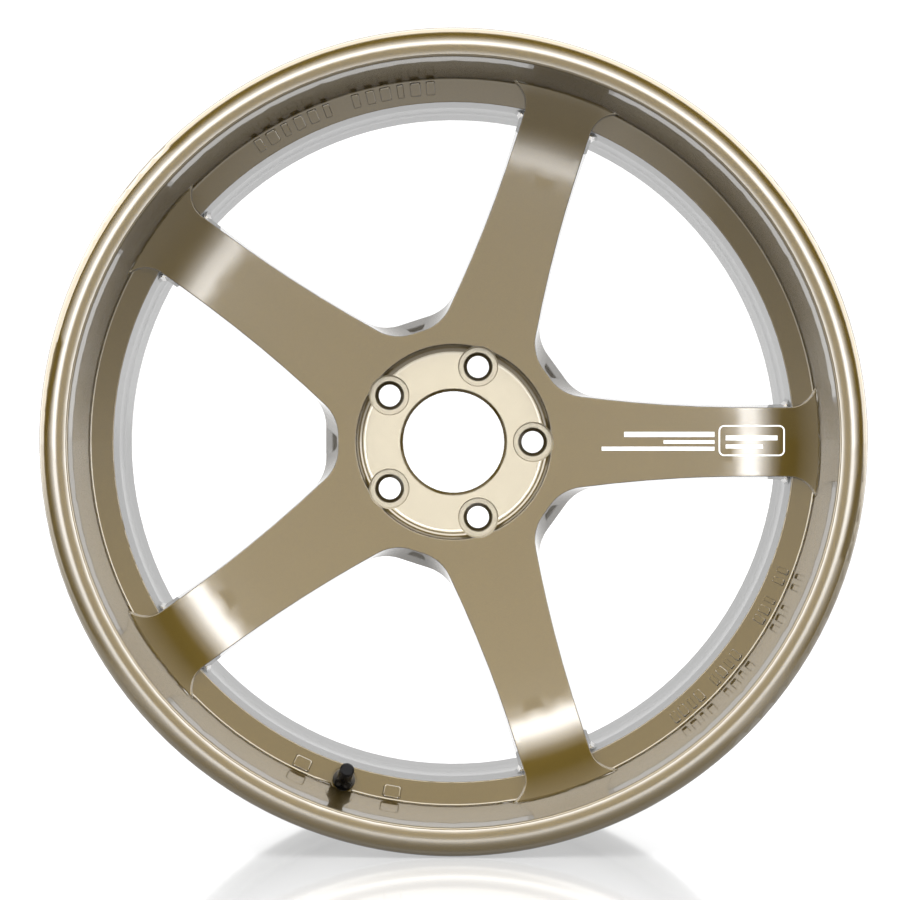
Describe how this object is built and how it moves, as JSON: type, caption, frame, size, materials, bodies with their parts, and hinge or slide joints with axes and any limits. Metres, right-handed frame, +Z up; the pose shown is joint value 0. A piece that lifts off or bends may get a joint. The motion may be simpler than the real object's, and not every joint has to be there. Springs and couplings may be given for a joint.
{
  "type": "wheel rim",
  "caption": "Forged deep-dish racing wheel rim with wide flat spokes, centre bore, bolt circle and a screw-capped snap-in tyre valve.",
  "frame": {"origin": "middle of the rim, on the wheel's axis halfway between the outer faces of the two flanges", "axes": "+Y along the axis from the face to the rear, the visible face towards -Y, +X to the right along one spoke, +Z up"},
  "size_m": [0.5684, 0.2919, 0.5684],
  "materials": {
    "gold_paint": "champagne gold metallic under gloss clear coat",
    "valve_rubber": "smooth black moulded rubber",
    "brass": "turned",
    "core_seal": "matt",
    "packing": "smooth",
    "spring_steel": "drawn wire",
    "cap_plastic": "satin black",
    "decal_film": "printed white film"
  },
  "bodies": {
    "wheel": {"wheel_forging": "gold_paint", "valve_rubber_body": "valve_rubber", "valve_stem": "brass", "core_plug": "brass", "core_packing": "packing", "core_sleeve": "brass", "core_spring": "spring_steel", "spoke_decal": "decal_film"},
    "valve_pin": {"core_pin": "brass", "core_cup": "brass", "core_seat_seal": "core_seal"},
    "cap_inner": {"cap_seal": "core_seal"},
    "cap": {"valve_cap": "cap_plastic"}
  },
  "joints": [
    {"name": "core_pin_press", "type": "slide", "parent": "wheel", "child": "valve_pin", "axis": [-0.1355, 0.8988, -0.4169], "range_m": [0, 0.0012], "stiffness_N_per_m": 2000, "springref_m": -0.001, "deforming": ["core_spring"]},
    {"name": "cap_lift", "type": "slide", "parent": "wheel", "child": "cap_inner", "axis": [0.1355, -0.8988, 0.4169], "range_m": [0, 0.00992]},
    {"name": "cap_turn", "type": "hinge", "parent": "cap_inner", "child": "cap", "pos_m": [-0.07553, -0.0994, -0.23245], "axis": [0.1355, -0.8988, 0.4169], "range_deg": [0, 4500]}
  ],
  "couplings": [
    {"joint": "cap_turn", "follows": "cap_lift", "rad_per_m": 7913.3}
  ]
}
